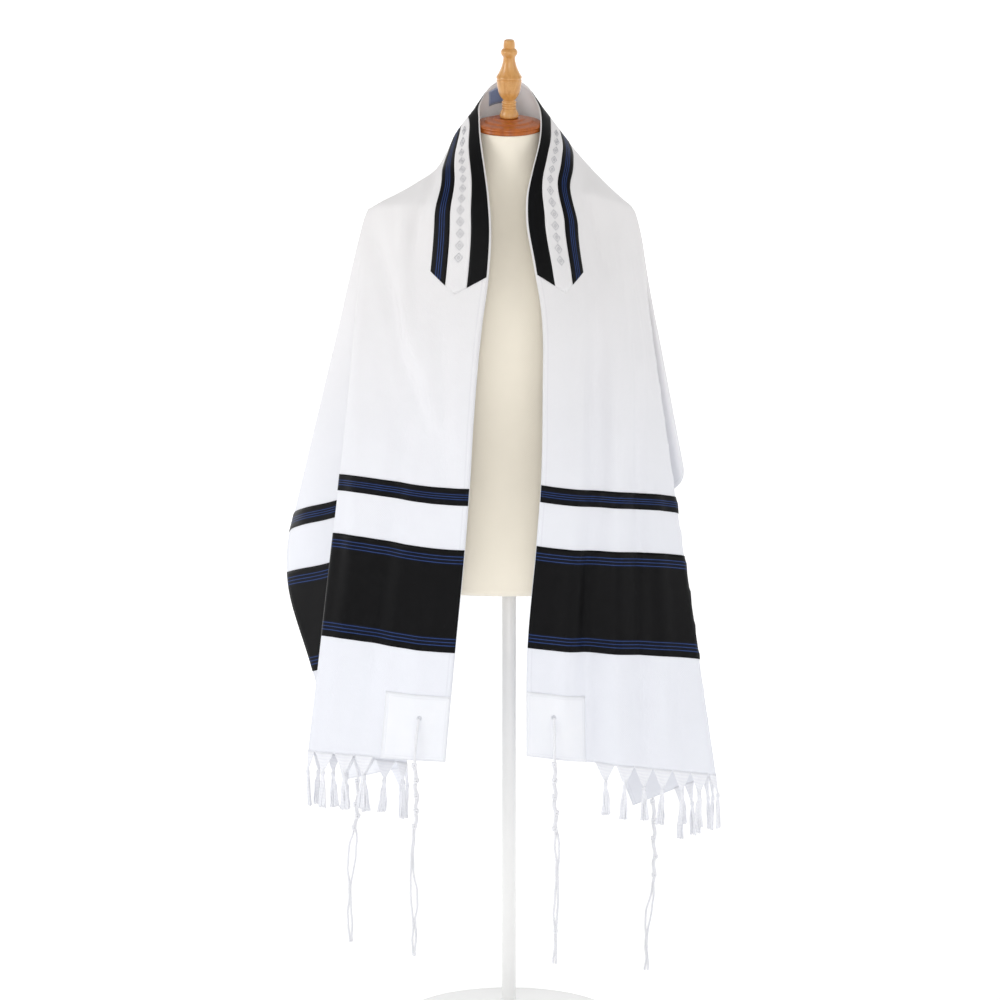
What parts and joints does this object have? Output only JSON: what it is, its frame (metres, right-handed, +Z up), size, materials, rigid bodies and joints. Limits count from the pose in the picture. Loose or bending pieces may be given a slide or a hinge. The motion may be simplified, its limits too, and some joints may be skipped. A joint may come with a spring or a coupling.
{
  "type": "fringed prayer shawl on a limbless dress form",
  "caption": "Rectangular fringed prayer shawl with satin bands and a striped neckband, draped over the shoulders of a limbless dress form on a round-based stand.",
  "frame": {"origin": "centre of the stand base's underside, on the floor", "axes": "+Z up along the stand, -Y the way the wearer faces, +X the shawl's side that is on the right from the front"},
  "size_m": [0.6202, 0.3508, 1.3857],
  "materials": {
    "wool": "fine plain weave, matt",
    "satin": "black satin with fine blue lines",
    "patch": "plain cotton, matt",
    "fringe": "twisted wool yarn",
    "string": "wound and knotted wool cord",
    "label": "plain woven label, bare",
    "jersey": "fine cream jersey over a hard form",
    "cap_wood": "stained and varnished",
    "finial_wood": "varnished",
    "stand_paint": "white satin enamel"
  },
  "bodies": {
    "root": {"shawl_cloth": "wool", "neckband_inner_ribbon": "satin", "neckband_centre": "wool", "neckband_outer_ribbon": "satin", "neck_label": "label", "wide_band_left": "satin", "wide_band_right": "satin", "narrow_band_left": "satin", "narrow_band_right": "satin", "corner_patch_front_left": "patch", "corner_patch_front_right": "patch", "corner_patch_rear_left": "patch", "corner_patch_rear_right": "patch", "fringe_left": "fringe", "fringe_right": "fringe", "strings_front_left": "string", "strings_front_right": "string", "strings_rear_left": "string", "strings_rear_right": "string", "form_torso": "jersey", "neck_cap": "cap_wood", "finial": "finial_wood", "stand_base": "stand_paint", "stand_pole": "stand_paint"}
  },
  "joints": []
}
